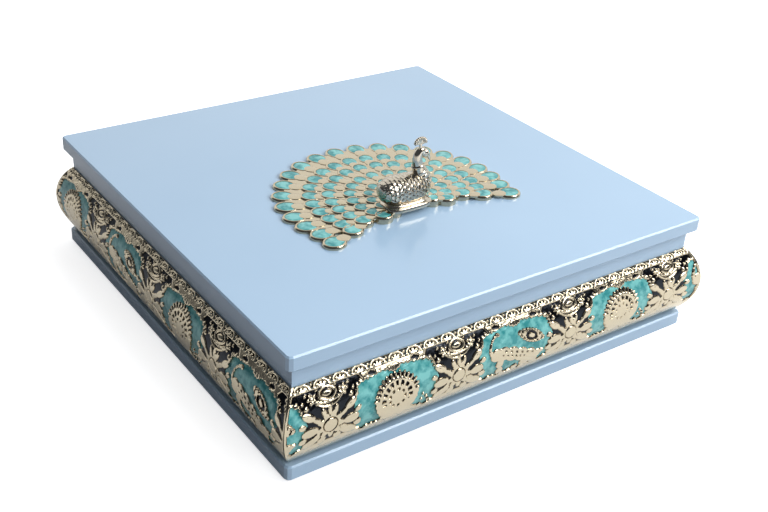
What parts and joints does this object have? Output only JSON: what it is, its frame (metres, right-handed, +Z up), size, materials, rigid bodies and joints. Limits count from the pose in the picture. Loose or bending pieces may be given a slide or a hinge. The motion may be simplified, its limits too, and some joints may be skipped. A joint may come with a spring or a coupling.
{
  "type": "dry fruit box",
  "caption": "Square lacquered wooden box with lift-off lid, bowed enamelled metal bands, a cast peacock with a fan tail on the lid, and removable cups inside.",
  "frame": {"origin": "centre of the footprint on the table, at the underside of the foot pads", "axes": "+Z up, -Y towards the front band, +X to the right, the way the peacock faces"},
  "size_m": [0.3116, 0.3116, 0.1296],
  "materials": {
    "lacquer": "satin lacquer",
    "inner_lacquer": "satin lacquer",
    "champagne": "polished champagne plating",
    "teal_enamel": "poured pearl enamel",
    "felt": "felt",
    "cup_plastic": "glossy",
    "steel": "zinc plated",
    "pad": "matt"
  },
  "bodies": {
    "case": {"foot_pads": "pad", "base_plinth": "lacquer", "plinth_screws": "steel", "wall_front": "lacquer", "wall_right": "lacquer", "wall_back": "lacquer", "wall_left": "lacquer", "band_front": "champagne", "band_right": "champagne", "band_back": "champagne", "band_left": "champagne", "enamel_front": "teal_enamel", "enamel_right": "teal_enamel", "enamel_back": "teal_enamel", "enamel_left": "teal_enamel", "band_screws": "steel", "floor_liner": "felt", "divider_long": "inner_lacquer", "divider_cross": "inner_lacquer"},
    "lid": {"lid_panel": "lacquer", "lid_rail_front": "inner_lacquer", "lid_rail_right": "inner_lacquer", "lid_rail_back": "inner_lacquer", "lid_rail_left": "inner_lacquer", "peacock_tail": "champagne", "tail_enamel": "teal_enamel", "peacock_bird": "champagne", "ornament_screws": "steel"},
    "cup_front_left": {"cup_front_left": "cup_plastic"},
    "cup_front_right": {"cup_front_right": "cup_plastic"},
    "cup_back_left": {"cup_back_left": "cup_plastic"},
    "cup_back_right": {"cup_back_right": "cup_plastic"}
  },
  "joints": [
    {"name": "lid_lift", "type": "slide", "parent": "case", "child": "lid", "axis": [0, 0, 1], "range_m": [0, 0.16]},
    {"name": "cup_front_left_lift", "type": "slide", "parent": "case", "child": "cup_front_left", "axis": [0, 0, 1], "range_m": [0, 0.08]},
    {"name": "cup_front_right_lift", "type": "slide", "parent": "case", "child": "cup_front_right", "axis": [0, 0, 1], "range_m": [0, 0.08]},
    {"name": "cup_back_left_lift", "type": "slide", "parent": "case", "child": "cup_back_left", "axis": [0, 0, 1], "range_m": [0, 0.08]},
    {"name": "cup_back_right_lift", "type": "slide", "parent": "case", "child": "cup_back_right", "axis": [0, 0, 1], "range_m": [0, 0.08]}
  ],
  "couplings": [
    {"joint": "cup_front_left_lift", "follows": "lid_lift", "ratio": 0.5},
    {"joint": "cup_front_right_lift", "follows": "lid_lift", "ratio": 0.5},
    {"joint": "cup_back_left_lift", "follows": "lid_lift", "ratio": 0.5},
    {"joint": "cup_back_right_lift", "follows": "lid_lift", "ratio": 0.5}
  ]
}
